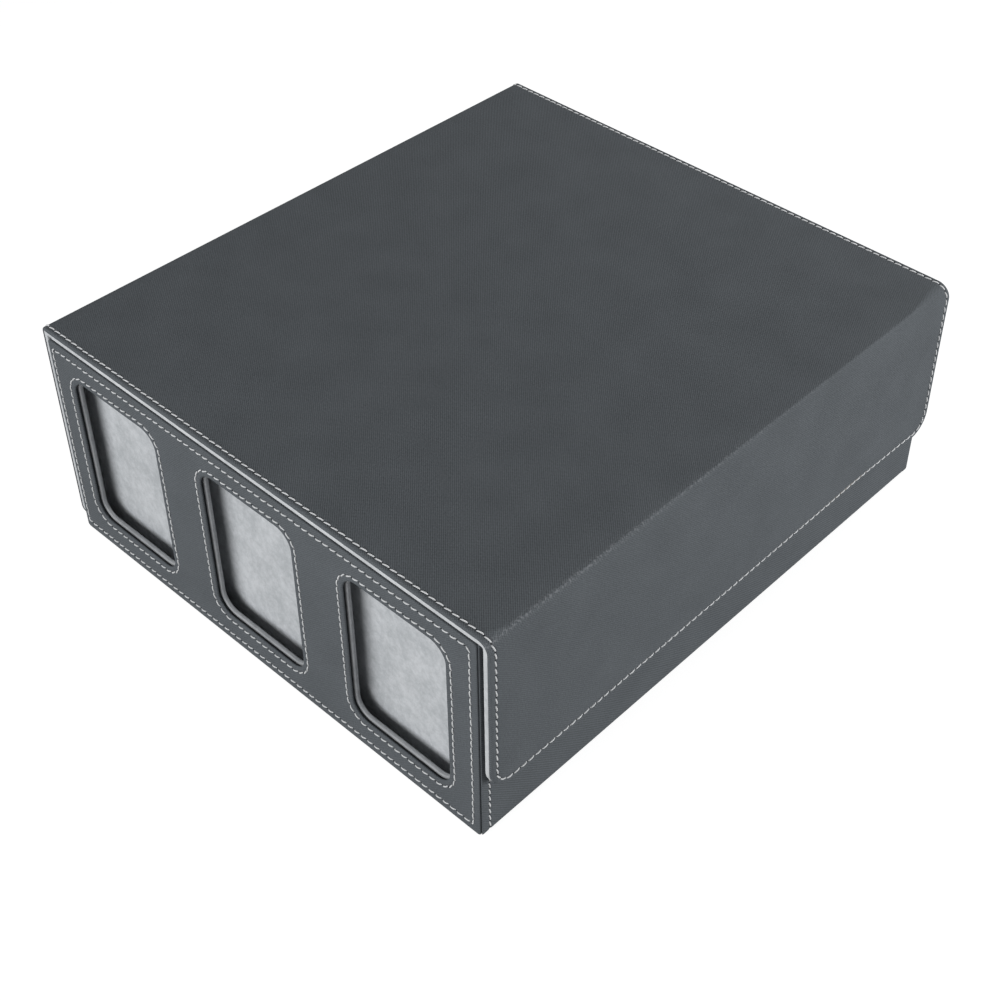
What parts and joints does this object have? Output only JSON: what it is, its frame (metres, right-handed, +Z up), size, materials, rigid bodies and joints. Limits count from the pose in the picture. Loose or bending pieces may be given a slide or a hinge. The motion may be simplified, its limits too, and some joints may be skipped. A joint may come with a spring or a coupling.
{
  "type": "card storage box",
  "caption": "Lidded storage box for rows of cards in rigid sleeves, with a fold-over magnetic flap and rounded display windows at one end.",
  "frame": {"origin": "bottom centre of the closed box", "axes": "+X across the rows, from the hinge at the back to the flap; +Y along the rows, away from the window end; +Z up"},
  "size_m": [0.2596, 0.2908, 0.112],
  "materials": {
    "leather": "matt, fine cloth-like grain",
    "suede": "short brushed nap",
    "board": "plain",
    "steel": "zinc plated",
    "magnet": "nickel plated"
  },
  "bodies": {
    "root": {"base_sheet": "leather", "bottom_board": "board", "floor_lining": "suede", "back_wall": "board", "back_wall_lining": "suede", "back_cover": "leather", "back_cover_lining": "suede", "back_fold": "leather", "flap_side_wall": "board", "flap_side_lining": "suede", "flap_side_cover": "leather", "wall_plate_1": "steel", "wall_plate_2": "steel", "wall_plate_3": "steel", "end_wall": "board", "end_wall_lining": "suede", "end_wall_cover": "leather", "window_panel": "leather", "window_wall": "suede", "display_wall_1": "suede", "display_wall_2": "suede", "display_wall_3": "suede", "partition_1": "suede", "partition_2": "suede"},
    "lid": {"lid_leather": "leather", "lid_board": "board", "lid_lining": "suede", "front_fold": "leather", "front_fold_lining": "suede"},
    "flap": {"flap_leather": "leather", "flap_board": "board", "flap_lining": "suede", "flap_magnet_1": "magnet", "flap_magnet_2": "magnet", "flap_magnet_3": "magnet"},
    "divider_1": {"divider_1": "suede"},
    "divider_2": {"divider_2": "suede"},
    "divider_3": {"divider_3": "suede"}
  },
  "joints": [
    {"name": "lid_hinge", "type": "hinge", "parent": "root", "child": "lid", "pos_m": [-0.129, 0, 0.1112], "axis": [0, -1, 0], "range_deg": [0, 178]},
    {"name": "flap_fold", "type": "hinge", "parent": "lid", "child": "flap", "pos_m": [0.1282, 0, 0.1104], "axis": [0, -1, 0], "range_deg": [0, 178]},
    {"name": "divider_1_slide", "type": "slide", "parent": "root", "child": "divider_1", "axis": [0, 1, 0], "range_m": [-0.0985, 0.1718]},
    {"name": "divider_2_slide", "type": "slide", "parent": "root", "child": "divider_2", "axis": [0, 1, 0], "range_m": [-0.1545, 0.1158]},
    {"name": "divider_3_slide", "type": "slide", "parent": "root", "child": "divider_3", "axis": [0, 1, 0], "range_m": [-0.1965, 0.0738]}
  ]
}
